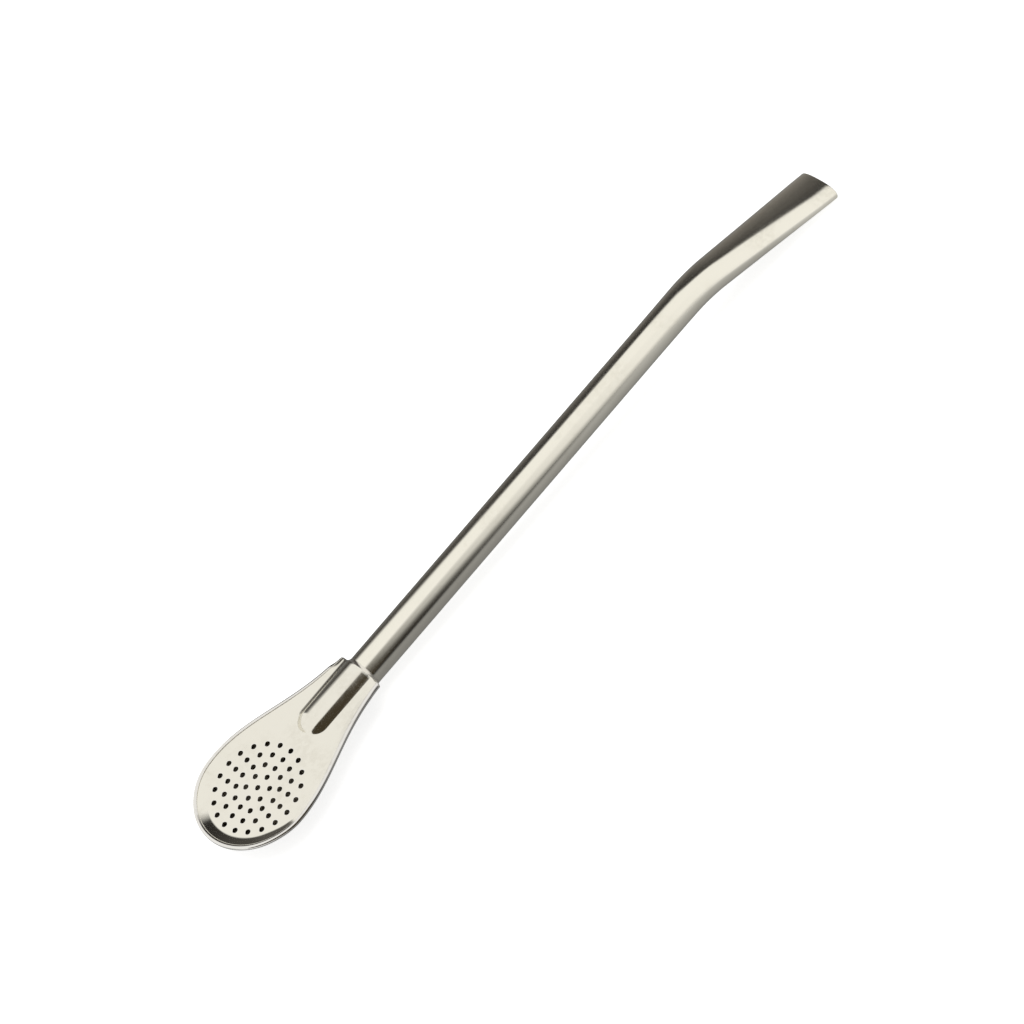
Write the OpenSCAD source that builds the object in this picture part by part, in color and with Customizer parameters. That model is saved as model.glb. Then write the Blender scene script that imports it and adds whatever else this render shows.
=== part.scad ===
// Bombilla: a steel drinking straw for mate. A drawn tube with a bent, flattened mouthpiece is brazed into
// a strainer spoon, which is a perforated front stamping held in the folded rim of a dished back stamping.
// Millimetres. The straw is drawn as it lies on a table: perforated face up, mouthpiece towards +X, and the
// origin at the middle of the flat underside of the bowl. Lengths along the straw are measured from the
// middle of the hole pattern, which is above the origin.

/* [Tube] */
// Outside diameter of the tube
tube_od = 8; // [6:0.1:10]
// Wall of the tube
tube_wall = 0.5; // [0.3:0.05:0.8]
// From the middle of the hole pattern to the tube's open end inside the strainer
tube_start = 19.2; // [18:0.1:26]
// From the middle of the hole pattern to the start of the bend
bend_start = 142.5; // [90:0.1:180]
// Radius of the bend, to the middle of the tube
bend_r = 40.5; // [30:0.5:90]
// Angle of the bend, away from the perforated face
bend_angle = 14.9; // [8:0.1:20]

/* [Mouthpiece] */
// Straight length of the mouthpiece after the bend
mouth_run = 33.6; // [24:0.1:50]
// Width of the flattened mouth, outside
mouth_w = 11.5; // [9:0.1:13]
// Height of the flattened mouth, outside
mouth_h = 4.1; // [3:0.1:6]
// Squareness of the flattened section: 2 is an ellipse, more is boxier
mouth_power = 2.5; // [2:0.1:3]
// From where the flattening begins to the start of the bend; it goes on to the mouth's end
flatten_lead = 13; // [2:0.5:20]

/* [Spoon outline] */
// Width of the bowl over its folded rim
bowl_w = 30.6; // [28:0.1:40]
// Width that the neck narrows to, over its folded rim
neck_w = 13.3; // [12:0.1:18]
// From the middle of the hole pattern to the end of the neck
neck_end = 33.7; // [30:0.1:44]
// Length over which the sides would draw in from the bowl to the neck
flare_run = 48; // [42:0.5:70]
// Sharpness of the draw-in: more makes the shoulders rounder and the neck longer
flare_power = 2.1; // [1.5:0.1:3]

/* [Spoon section] */
// Thickness of both stamped sheets
sheet = 0.4; // [0.25:0.05:0.5]
// Height of the perforated floor above the tube's axis, at mid-thickness
floor_z = 1.57; // [1.2:0.01:2]
// Height of the rim's seam above the tube's axis at the neck
seam_z_neck = 1.2; // [0.9:0.05:1.5]
// Height of the rim's seam above the tube's axis at the tip
seam_z_tip = 2.5; // [1.5:0.05:4]
// Width of the slope between the floor and the rim
lip_run = 2.5; // [1.5:0.1:2.6]
// Width of the back sheet's flat flange, from the rim's outer edge
flange_w = 1; // [0.9:0.05:1.2]
// Width of the rim's fold over the front sheet
fold_w = 0.95; // [0.9:0.05:1.2]
// Depth of the bowl's underside below the tube's axis
belly_depth = 5; // [4.6:0.1:7]
// Width of the bowl's sloping wall
wall_run = 8.6; // [7:0.1:10]
// From the tube's open end to where the bowl starts to rise towards the neck
rise_lead = 0.6; // [0.2:0.1:3]
// Length over which the bowl rises to the flange under the neck
rise_run = 11; // [7:0.5:12]
// Diameter of the flat spot that the bowl rests on
rest_d = 9; // [5:0.5:10]

/* [Holes] */
// Diameter of the strainer holes
hole_d = 1.2; // [0.8:0.05:1.5]
// Number of holes in each ring, from the middle outwards
hole_counts = [1, 6, 12, 16, 20];
// Radius of the first ring of holes
ring_r = 3.03; // [2.6:0.01:3.6]
// Step from one ring of holes to the next
ring_step = 2.54; // [2:0.01:2.6]
// Turn of the whole hole pattern about its middle
hole_turn = 1.8; // [-5:0.1:5]

/* [Joints] */
// Gap between pieces that seat in one another
gap = 0.05; // [0.03:0.01:0.08]
// Leg of the braze fillet round the tube at the neck
braze_leg = 0.9; // [0.5:0.1:1.5]

/* [Hidden] */
$fn = 64;

// Small overlap that keeps a faceted piece from sharing a surface with an exact one
bite = 0.02;
// Sides of the faceted mouthpiece, and its rings
mouth_sides = 40;
mouth_rings = 30;
// Stations along each side of the neck, and round a quarter of the bowl
neck_stations = 18;
bowl_stations = 18;
// Rings across the lip of the front sheet and across the wall of the back sheet
lip_rings = 6;
wall_rings = 10;
// Steps round the rim's bead, and down the curve of the braze
bead_steps = 6;
braze_steps = 6;
// Shares of the lip and of the bowl's wall that are rounded at their ends
lip_round = 0.25;
wall_round_top = 0.08;
wall_round_low = 0.35;
// Shares of the flattening that are eased at its start and at the mouth
flatten_ease_in = 0.4;
flatten_ease_out = 0.1;
// Margin by which cuts reach past what they cut
past = 1;

tube_r = tube_od / 2;
bore_r = tube_r - tube_wall;
bowl_r = bowl_w / 2;
socket_r = tube_r + gap;
socket_out_r = socket_r + sheet;
bend_len = bend_r * bend_angle * PI / 180;
path_len = bend_len + mouth_run;
round_end = bend_start - flatten_lead;

// The seam is the mid-plane of the front sheet at the rim. The rim folds round the front sheet's edge.
slot_half = sheet / 2 + gap;
bead_half = slot_half + sheet;
flange_drop = slot_half + sheet / 2;
front_edge = sheet + gap;
lip_start = fold_w + sheet / 3;
back_edge = flange_w - sheet;

// A smooth step from 0 to 1 as u goes from 0 to 1
function smooth(u) = let (c = max(0, min(1, u))) c * c * (3 - 2 * c);

// A ramp from 0 to 1 whose start and end are rounded over these shares of its length
function ramp(u, start, end) =
    let (c = max(0, min(1, u)), steep = 2 / (2 - start - end))
    c < start ? steep * c * c / (2 * start)
    : c > 1 - end ? 1 - steep * (1 - c) * (1 - c) / (2 * end)
    : steep * (c - start / 2);

// Outside half-width of the spoon at x on the neck's side of the middle, and its slope
function half_width(x) =
    neck_w / 2 + (bowl_w - neck_w) / 2 * pow((1 + cos(180 * x / flare_run)) / 2, flare_power);
function width_slope(x) = (half_width(x + bite) - half_width(x - bite)) / (2 * bite);

// Stations of one side, from the neck's end to the tip: [0, x] along the neck, then
// [1, angle] round the bowl
side_stations = concat(
    [for (i = [0 : neck_stations - 1]) [0, neck_end * (1 - i / neck_stations)]],
    [for (i = [0 : bowl_stations]) [1, 90 + 90 * i / bowl_stations]]
);
side_count = len(side_stations);

// Point of the +Y side at a station, moved inwards by d
function inset_point(st, d) =
    st[0] == 0
    ? [st[1], half_width(st[1]) - d * sqrt(1 + pow(width_slope(st[1]), 2))]
    : [(bowl_r - d) * cos(st[1]), (bowl_r - d) * sin(st[1])];

// Share of the full bowl that a station has: 1 round the bowl, less where the neck narrows
function station_share(st) = st[0] == 0 ? half_width(st[1]) / bowl_r : 1;

// Height of the rim's seam over the tube's axis: low at the neck, high at the tip
function seam_z(x) =
    seam_z_neck + (seam_z_tip - seam_z_neck) * smooth((flare_run - x) / (flare_run + bowl_r / 2));

// Height of the front sheet's mid-plane, at x and at the distance d inside the rim's outer edge
function front_z(x, d) =
    floor_z + (seam_z(x) - floor_z) * (1 - ramp((d - lip_start) / lip_run, lip_round, lip_round));

// Lowest point of the mouth's end under the tube's axis, and the tilt at which it and the belly both
// touch the table
mouth_low_x =
    bend_start + (bend_r - mouth_h / 2) * sin(bend_angle) + mouth_run * cos(bend_angle);
mouth_low_z =
    (bend_r - mouth_h / 2) * cos(bend_angle) - bend_r - mouth_run * sin(bend_angle);
rest_tilt = asin(-belly_depth / norm([mouth_low_x, mouth_low_z])) - atan2(mouth_low_z, mouth_low_x);

// Height of the back sheet's mid-plane under the tube's axis where the bowl is deepest: level at rest
function belly_z(x) = -(belly_depth - bite) / cos(rest_tilt) - x * tan(rest_tilt) + sheet / 2;

// Height of the back sheet's mid-plane at x and at the share f of its wall, which is 0 at the flange and
// 1 at the floor
function back_z(x, f) =
    let (top = seam_z(x) - flange_drop, rise = smooth((x - tube_start - rise_lead) / rise_run))
    top - (top - belly_z(x)) * (1 - rise) * ramp(f, wall_round_top, wall_round_low);

// Half of a sheet's thickness measured straight up, where the sheet climbs with the given slope
function half_up(slope) = sheet / 2 * sqrt(1 + slope * slope);

// The rim's path goes from the neck's +Y corner round the tip to its -Y corner
path_count = 2 * side_count - 1;
function path_station(j) = side_stations[j < side_count ? j : path_count - 1 - j];
function path_side(j) = j < side_count ? 1 : -1;

// A point of the path's station j, moved inwards by d, at height z
function path_point(j, d, z) =
    let (p = inset_point(path_station(j), d))
    [p[0], path_side(j) * p[1], z];

// Sets a piece drawn about the tube's axis down as it rests
module at_rest() {
    translate([0, 0, belly_depth]) rotate([0, -rest_tilt, 0]) children();
}

// A cylinder along the tube's axis
module along_tube(r, from, to) {
    translate([from, 0, 0]) rotate([0, 90, 0]) cylinder(r = r, h = to - from);
}

// The space of the tube's socket: a cylinder whose inner end is a ball
module socket_space(r, to) {
    along_tube(r, tube_start, to);
    translate([tube_start, 0, 0]) sphere(r = r);
}

// A closed skin over equal rings of points, with each end closed by a strip across its ring
module loft(rings) {
    n = len(rings[0]);
    last = (len(rings) - 1) * n;
    sides = [
        for (j = [0 : len(rings) - 2], i = [0 : n - 1])
            let (a = j * n + i, b = j * n + (i + 1) % n)
                each [[a, b + n, b], [a, a + n, b + n]]
    ];
    strip = [
        for (i = [0 : n / 2 - 2])
            each [[i, i + 1, n - 2 - i], [i, n - 2 - i, n - 1 - i]]
    ];
    far_strip = [for (f = strip) [last + f[0], last + f[2], last + f[1]]];
    polyhedron([for (r = rings) each r], concat(sides, strip, far_strip), convexity = 6);
}

// A closed plate between two grids of points. Each grid is a list of rings from the rim inwards, and the
// innermost ring is floored by strips from side to side
module plate(top, bottom) {
    n = path_count;
    rows = len(top);
    under = rows * n;
    inner = (rows - 1) * n;
    upper = concat(
        [
            for (k = [0 : rows - 2], j = [0 : n - 2])
                let (a = k * n + j)
                    each [[a, a + n + 1, a + 1], [a, a + n, a + n + 1]]
        ],
        [
            for (j = [0 : side_count - 3])
                let (a = inner + j, b = inner + n - 1 - j)
                    each [[a, b - 1, a + 1], [a, b, b - 1]]
        ],
        [[inner + side_count - 2, inner + side_count, inner + side_count - 1]]
    );
    lower = [for (f = upper) [under + f[0], under + f[2], under + f[1]]];
    edge = [for (j = [0 : n - 2]) each [[j, under + j + 1, under + j], [j, j + 1, under + j + 1]]];
    // The end of the neck is a ladder from the +Y corner inwards, across, and out to the -Y corner
    rungs = concat([for (k = [0 : rows - 1]) k * n], [for (k = [rows - 1 : -1 : 0]) k * n + n - 1]);
    end = [
        for (i = [0 : len(rungs) - 2])
            let (a = rungs[i], b = rungs[i + 1])
                each [[a, under + b, b], [a, under + a, under + b]]
    ];
    points = [for (r = concat(top, bottom)) each r];
    polyhedron(points, concat(upper, lower, edge, end), convexity = 6);
}

// Place and direction of the tube's axis at the distance s past the start of the bend: [x, z, angle]
function axis_at(s) =
    let (turn = max(0, min(s, bend_len)) / bend_r * 180 / PI, run = max(0, s - bend_len), lead = min(0, s))
    [
        bend_start + lead + bend_r * sin(turn) + run * cos(turn),
        -bend_r * (1 - cos(turn)) - run * sin(turn),
        turn
    ];

function signed_pow(v, p) = sign(v) * pow(abs(v), p);

// Ring of the mouthpiece at the distance s past the start of the bend, moved inwards by the inset
function mouth_ring(s, inset) =
    let (
        at = axis_at(s),
        k = ramp((s + flatten_lead) / (path_len + flatten_lead), flatten_ease_in, flatten_ease_out),
        half_w = tube_r + (mouth_w / 2 - tube_r) * k - inset,
        half_h = tube_r + (mouth_h / 2 - tube_r) * k - inset,
        power = 2 / (2 + (mouth_power - 2) * k)
    )
    [
        for (i = [0 : mouth_sides - 1])
            let (
                t = 360 * i / mouth_sides,
                y = half_w * signed_pow(cos(t), power),
                n = half_h * signed_pow(sin(t), power)
            )
                [at[0] + n * sin(at[2]), y, at[1] + n * cos(at[2])]
    ];

// The bent and flattened end as a solid, from just inside the round tube to the given distance past the
// start of the bend
module mouth_solid(inset, to) {
    from = -flatten_lead - tube_wall;
    loft([for (i = [0 : mouth_rings]) mouth_ring(from + (to - from) * i / mouth_rings, inset)]);
}

// Drawn tube: straight bore, then the bend and the flattened mouth
module stem_tube() {
    color([0.79, 0.78, 0.75]) at_rest() difference() {
        union() {
            along_tube(tube_r, tube_start, round_end);
            mouth_solid(bite, path_len);
        }
        along_tube(bore_r, tube_start - past, round_end);
        mouth_solid(tube_wall - bite, path_len + past);
    }
}

// Rings of the front sheet: its edge in the fold, then across the lip to the floor
front_insets = concat(
    [front_edge],
    [for (i = [0 : lip_rings]) lip_start + lip_run * i / lip_rings]
);
function front_slope(x, d) = (front_z(x, d + bite) - front_z(x, d - bite)) / (2 * bite);
function front_ring(d, side) =
    [
        for (j = [0 : path_count - 1])
            let (p = path_point(j, d, 0))
                [p[0], p[1], front_z(p[0], d) + side * half_up(front_slope(p[0], d))]
    ];

// Places of the strainer holes: rings about the middle, each with a hole towards the neck
hole_places = [
    for (k = [0 : len(hole_counts) - 1], i = [0 : hole_counts[k] - 1])
        let (r = k == 0 ? 0 : ring_r + (k - 1) * ring_step, t = 360 * i / hole_counts[k] - hole_turn)
            [r * cos(t), r * sin(t)]
];

// Front stamping: dished and perforated floor, raised lip, and the ball-ended socket over the tube
module front_strainer() {
    clip_z = floor_z - sheet / 3;
    color([0.83, 0.82, 0.79]) at_rest() difference() {
        union() {
            plate([for (d = front_insets) front_ring(d, 1)], [for (d = front_insets) front_ring(d, -1)]);
            intersection() {
                socket_space(socket_out_r, neck_end);
                translate([0, -bowl_r, clip_z]) cube([neck_end + past, bowl_w, socket_out_r]);
            }
        }
        socket_space(socket_r, neck_end + past);
        for (p = hole_places) translate([p[0], p[1], 0]) cylinder(d = hole_d, h = 2 * floor_z);
    }
}

// Shares of the back sheet's wall at which it has rings, after the two rings of its flange
wall_shares = [for (i = [0 : wall_rings]) i / wall_rings];
// Inset of the wall's share f at station j: the wall narrows with the neck
function wall_inset(j, f) =
    flange_w + wall_run * f * (bowl_r * station_share(path_station(j)) - flange_w) / (bowl_r - flange_w);
function wall_slope(x, f) =
    norm([
        (back_z(x, f + bite) - back_z(x, f - bite)) / (2 * bite * wall_run),
        (back_z(x + bite, f) - back_z(x - bite, f)) / (2 * bite)
    ]);
function wall_ring(f, side) =
    [
        for (j = [0 : path_count - 1])
            let (p = path_point(j, wall_inset(j, f), 0))
                [p[0], p[1], back_z(p[0], f) + side * half_up(wall_slope(p[0], f))]
    ];
// Ring of the flange, a bite thinner than the fold that it runs into
function flange_ring(d, side) =
    [
        for (j = [0 : path_count - 1])
            let (p = path_point(j, d, 0))
                [p[0], p[1], back_z(p[0], 0) + side * (sheet / 2 - bite)]
    ];
function back_grid(side) =
    concat([flange_ring(back_edge, side)], [for (f = wall_shares) wall_ring(f, side)]);

// The hollow over the back sheet, up to a height well over the rim
module bowl_hollow() {
    lid = [for (r = back_grid(0)) [for (p = r) [p[0], p[1], seam_z_tip + bowl_r]]];
    plate(lid, back_grid(0));
}

// Section of the folded rim as [inset, height over the seam]: round the outside, then back along the slot
fold_outer = concat(
    [[fold_w, bead_half - sheet / 3]],
    [for (i = [0 : bead_steps]) let (t = 90 + 180 * i / bead_steps) bead_half * [1 + cos(t), sin(t)]],
    [[flange_w - bite, -bead_half]]
);
fold_inner = concat(
    [[fold_w, slot_half]],
    [for (i = [0 : bead_steps]) [sheet, slot_half * (1 - 2 * i / bead_steps)]],
    [[flange_w - bite, -slot_half]]
);
fold_section = concat(fold_outer, [for (i = [len(fold_inner) - 1 : -1 : 0]) fold_inner[i]]);

// Ring of the folded rim at the path's station j
function fold_ring(j) =
    [for (q = fold_section) let (p = path_point(j, q[0], 0)) [p[0], p[1], seam_z(p[0]) + q[1]]];

// Back stamping: bowl with a flat to rest on, half-round channel under the tube, and the rim folded over
// the front
module back_shell() {
    clip_z = seam_z_neck - flange_drop;
    color([0.74, 0.73, 0.70]) difference() {
        union() {
            at_rest() {
                plate(back_grid(1), back_grid(-1));
                loft([for (j = [0 : path_count - 1]) fold_ring(j)]);
                difference() {
                    along_tube(socket_out_r, tube_start, neck_end);
                    translate([0, -bowl_r, clip_z]) cube([neck_end + past, bowl_w, bowl_r]);
                    bowl_hollow();
                }
            }
            cylinder(d = rest_d, h = sheet - bite);
        }
        at_rest() along_tube(socket_r, tube_start - gap, neck_end + past);
    }
}

// Fillet of braze round the tube at the neck: a curve that falls from the socket's edge to the tube
module neck_braze() {
    curve = [
        for (i = [0 : braze_steps])
            let (u = i / braze_steps) [socket_r + bite + (sheet - bite) * pow(1 - u, 2), braze_leg * u]
    ];
    color([0.70, 0.67, 0.58]) at_rest() translate([neck_end + gap, 0, 0]) rotate([0, 90, 0])
        rotate_extrude() polygon(concat([[socket_r, 0]], curve, [[socket_r, braze_leg]]));
}

stem_tube();
front_strainer();
back_shell();
neck_braze();
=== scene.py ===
"""Dresses a bombilla, a steel drinking straw for mate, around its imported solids.

Lengths are in metres. Each piece is worked out in the straw's own axes, where the tube's centre line runs
along X and the perforated face looks towards +Z, with X counted from the middle of the hole pattern. It is
then laid down as the straw rests on a table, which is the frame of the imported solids.
"""

from __future__ import annotations

import logging
import math
from dataclasses import dataclass, field
from enum import Enum

import bmesh
import bpy
import numpy as np
from mathutils import Matrix, Vector
from mathutils.geometry import delaunay_2d_cdt
from numpy.typing import NDArray

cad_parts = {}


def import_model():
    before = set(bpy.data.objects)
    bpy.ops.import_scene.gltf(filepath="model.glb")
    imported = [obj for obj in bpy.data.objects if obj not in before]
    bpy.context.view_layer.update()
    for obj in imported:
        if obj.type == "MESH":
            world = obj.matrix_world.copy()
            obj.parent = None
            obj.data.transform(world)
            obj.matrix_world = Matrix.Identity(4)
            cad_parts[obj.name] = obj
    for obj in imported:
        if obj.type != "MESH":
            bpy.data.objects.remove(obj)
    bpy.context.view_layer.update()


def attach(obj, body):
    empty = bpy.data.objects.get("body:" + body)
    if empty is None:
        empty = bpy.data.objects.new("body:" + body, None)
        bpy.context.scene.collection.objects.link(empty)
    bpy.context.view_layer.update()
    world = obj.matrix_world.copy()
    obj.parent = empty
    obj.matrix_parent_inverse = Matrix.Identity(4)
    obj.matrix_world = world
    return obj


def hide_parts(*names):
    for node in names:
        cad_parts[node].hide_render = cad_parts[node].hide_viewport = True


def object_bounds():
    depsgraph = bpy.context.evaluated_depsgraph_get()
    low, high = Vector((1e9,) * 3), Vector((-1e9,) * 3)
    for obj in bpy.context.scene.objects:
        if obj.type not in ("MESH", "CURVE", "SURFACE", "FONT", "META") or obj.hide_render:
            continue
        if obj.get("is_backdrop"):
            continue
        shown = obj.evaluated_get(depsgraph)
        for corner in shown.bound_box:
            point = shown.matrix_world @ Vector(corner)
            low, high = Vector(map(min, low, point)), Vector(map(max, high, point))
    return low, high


Array = NDArray[np.float64]
Index = NDArray[np.int64]
Numbers = tuple[float, ...]
Colour = tuple[float, float, float]
Socket = bpy.types.NodeSocket

MM = 0.001
ROOT_BODY = "root"
FLOW = "flow"
EDGE = "edge"
EDGE_STEPS = 6
NO_AREA = 1e-16
log = logging.getLogger("bombilla")


class Side(Enum):
    """Which finish a face takes, the polished outside or the dull inside, as the material's slot."""

    OUTSIDE = 0
    INSIDE = 1


def mm(*lengths: float) -> Numbers:
    """Turns lengths in millimetres into metres."""
    return tuple(length * MM for length in lengths)


def smooth_step(u: Array) -> Array:
    """Rises from 0 to 1 as u goes from 0 to 1, as three u squared less two u cubed, level at both ends."""
    c = np.clip(u, 0.0, 1.0)
    return c * c * (3.0 - 2.0 * c)


def rise(x: Array, span: Numbers) -> Array:
    """Rises from 0 to 1 over a span of x by a smooth step. A span that runs backwards gives a fall."""
    start, end = span
    return smooth_step((x - start) / (end - start))


def rounded_ramp(u: Array, start: float, end: float) -> Array:
    """Rises from 0 to 1 in a straight line whose ends are rounded off by parabolas.

    Args:
        u: Place along the ramp, from 0 to 1.
        start: Share of the ramp that the first parabola takes.
        end: Share of the ramp that the last parabola takes.

    Returns:
        The ramp's height at each u.
    """
    c = np.clip(u, 0.0, 1.0)
    steep = 2.0 / (2.0 - start - end)
    low = steep * c * c / (2.0 * start)
    high = 1.0 - steep * (1.0 - c) ** 2 / (2.0 * end)
    return np.where(c < start, low, np.where(c > 1.0 - end, high, steep * (c - start / 2.0)))


def signed_power(v: Array, power: float | Array) -> Array:
    """Raises the size of v to a power and keeps its sign."""
    return np.sign(v) * np.abs(v) ** power


def unit(vectors: Array) -> Array:
    """Scales the last axis to length one, and leaves zero vectors as they are."""
    size = np.linalg.norm(vectors, axis=-1, keepdims=True)
    return vectors / np.where(size > 0.0, size, 1.0)


def stack(x: Array, y: Array, z: Array) -> Array:
    """Joins three coordinate arrays, of shapes that broadcast together, into points."""
    return np.stack(np.broadcast_arrays(x, y, z), axis=-1)


def closed(grid: Index, axis: int) -> Index:
    """Repeats a grid's first numbers after its last along an axis, so that its faces close round."""
    return np.concatenate([grid, np.take(grid, [0], axis)], axis)


def quads(grid: Index) -> Index:
    """Returns the four-sided faces over a grid of point numbers, or over a stack of grids."""
    corners = [grid[..., :-1, :-1], grid[..., 1:, :-1], grid[..., 1:, 1:], grid[..., :-1, 1:]]
    return np.stack(corners, axis=-1).reshape(-1, 4)


def put(name: str, data: bpy.types.ID) -> bpy.types.Object:
    """Makes an object of a mesh, lamp or camera and links it to the scene."""
    made = bpy.data.objects.new(name, data)
    bpy.context.scene.collection.objects.link(made)
    return made


@dataclass
class Skin:
    """The grids and patches of one piece, gathered until they are welded into a mesh."""

    weld: float = 0.0005 * MM
    points: list[Array] = field(default_factory=list)
    flows: list[Array] = field(default_factory=list)
    edges: list[Array] = field(default_factory=list)
    parts: list[tuple[Index, Side]] = field(default_factory=list)
    count: int = 0

    def place(self, points: Array, flow: Array | None = None, edge: float | Array = 0.0) -> Index:
        """Adds points.

        Args:
            points: Points of any grid shape, with the coordinates on the last axis.
            flow: The coordinates that the finish's lines follow, where they aren't the points themselves.
            edge: How much of a worn edge each point is, from 0 to 1.

        Returns:
            The points' numbers, in the grid's shape.
        """
        shape = points.shape[:-1]
        total = int(np.prod(shape))
        self.points.append(points.reshape(-1, 3))
        self.flows.append((points if flow is None else flow).reshape(-1, 3))
        self.edges.append(np.broadcast_to(edge, shape).reshape(-1))
        numbers = np.arange(self.count, self.count + total).reshape(shape)
        self.count += total
        return numbers

    def weave(self, grid: Index, side: Side = Side.OUTSIDE) -> None:
        """Covers a grid of point numbers, or a stack of grids, with quads."""
        self.parts.append((quads(grid), side))

    def patch(self, triangles: Index, side: Side = Side.OUTSIDE) -> None:
        """Adds triangles of point numbers."""
        self.parts.append((triangles.reshape(-1, 3), side))

    def close_edge(self, upper: Index, lower: Index, outwards: Array) -> Index:
        """Closes a sheet's edge with a half-round strip between two rows of points already in the skin.

        Args:
            upper: Numbers of the row along the upper skin.
            lower: Numbers of the row opposite it, along the lower skin.
            outwards: Directions out of the edge, of length one for a full half circle.

        Returns:
            The numbers of the strip's points, one row for each point of the edge. A point is the middle of
            the two skins, plus half their distance times the cosine of the turn towards the upper skin, plus
            as much times its sine outwards.
        """
        held = np.concatenate(self.points)
        turn = np.linspace(0.0, np.pi, EDGE_STEPS + 1)[1:-1, None]
        middle = (held[upper] + held[lower])[:, None] / 2.0
        half = (held[upper] - held[lower])[:, None] / 2.0
        reach = np.linalg.norm(half, axis=-1, keepdims=True)
        bulge = self.place(middle + half * np.cos(turn) + outwards[:, None] * reach * np.sin(turn), edge=1.0)
        strip = np.concatenate([upper[:, None], bulge, lower[:, None]], axis=1)
        self.weave(strip)
        return strip

    def close_corner(self, first: Index, second: Index) -> None:
        """Closes the wedge between two rows of point numbers that start and end at the same points."""
        a, b = first[:-1], second[:-1]
        ahead_a, ahead_b = first[1:], second[1:]
        lower = np.stack([a, ahead_a, ahead_b], axis=-1)[:-1]
        upper = np.stack([a, ahead_b, b], axis=-1)[1:]
        self.patch(np.concatenate([lower, upper]))

    def build(self, name: str, rest: RestPose) -> bpy.types.Object:
        """Welds the gathered faces, quads first, into one closed, smooth mesh that lies as the straw rests.

        Args:
            name: Name of the piece.
            rest: The pose that the straw lies in.

        Returns:
            The piece's object, linked to the scene.
        """
        parts = sorted(self.parts, key=lambda part: -part[0].shape[1])
        faces = [row for numbers, _ in parts for row in numbers.tolist()]
        sides = np.repeat([side.value for _, side in parts], [len(numbers) for numbers, _ in parts])
        mesh = bpy.data.meshes.new(name)
        mesh.from_pydata(rest.to_row(np.concatenate(self.points)).tolist(), [], faces)
        flow = mesh.attributes.new(FLOW, "FLOAT_VECTOR", "POINT")
        flow.data.foreach_set("vector", np.concatenate(self.flows).ravel())
        edge = mesh.attributes.new(EDGE, "FLOAT", "POINT")
        edge.data.foreach_set("value", np.concatenate(self.edges))
        mesh.polygons.foreach_set("material_index", sides)
        shape = bmesh.new()
        shape.from_mesh(mesh)
        bmesh.ops.remove_doubles(shape, verts=shape.verts, dist=self.weld)
        bmesh.ops.recalc_face_normals(shape, faces=shape.faces)
        open_edges = sum(not e.is_manifold for e in shape.edges)
        shape.to_mesh(mesh)
        shape.free()
        mesh.polygons.foreach_set("use_smooth", np.ones(len(mesh.polygons), dtype=bool))
        mesh.update()
        log.info("%s: %d faces, %d open edges", name, len(mesh.polygons), open_edges)
        return put(name, mesh)


@dataclass(frozen=True)
class TubeLine:
    """The tube's centre line: straight, then an arc away from the perforated face, then straight again."""

    radius: float = 4.0 * MM
    start: float = 19.2 * MM
    bend_start: float = 142.5 * MM
    bend_radius: float = 40.5 * MM
    bend_angle: float = math.radians(14.9)
    mouth_run: float = 33.6 * MM

    @property
    def bend_length(self) -> float:
        """Length of the arc."""
        return self.bend_radius * self.bend_angle

    @property
    def end(self) -> float:
        """Distance from the start of the bend to the mouth's end, along the line."""
        return self.bend_length + self.mouth_run

    def at(self, s: Array) -> tuple[Array, Array, Array]:
        """Follows the line: X grows with s, then as the sine of the turn, then as the turn's cosine.

        Args:
            s: Distance past the start of the bend, less than zero on the straight tube.

        Returns:
            The line's X, its Z and the angle that it has turned through.
        """
        turn = np.clip(s, 0.0, self.bend_length) / self.bend_radius
        lead, run = np.minimum(s, 0.0), np.maximum(s - self.bend_length, 0.0)
        x = self.bend_start + lead + self.bend_radius * np.sin(turn) + run * np.cos(turn)
        z = -self.bend_radius * (1.0 - np.cos(turn)) - run * np.sin(turn)
        return x, z, turn


@dataclass(frozen=True)
class RestPose:
    """How the straw lies: tilted until the bowl's underside and the mouth's lower edge touch the table."""

    line: TubeLine
    belly_depth: float = 5.0 * MM
    mouth_half_height: float = 2.05 * MM

    @property
    def tilt(self) -> float:
        """Angle between the tube and the table, from the mouth's lowest point and the bowl's depth."""
        x, z, turn = (float(v) for v in self.line.at(np.array(self.line.end)))
        low_x = x - self.mouth_half_height * math.sin(turn)
        low_z = z - self.mouth_half_height * math.cos(turn)
        return math.asin(-self.belly_depth / math.hypot(low_x, low_z)) - math.atan2(low_z, low_x)

    def turn(self, vectors: Array) -> Array:
        """Turns directions from the straw's axes to the row's: a turn about Y by the tilt."""
        c, s = math.cos(self.tilt), math.sin(self.tilt)
        x, y, z = np.moveaxis(np.asarray(vectors, dtype=float), -1, 0)
        return stack(x * c - z * s, y, x * s + z * c)

    def to_row(self, points: Array) -> Array:
        """Lays points down: the turn about Y, then up by the depth of the bowl."""
        return self.turn(points) + np.array([0.0, 0.0, self.belly_depth])


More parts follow.
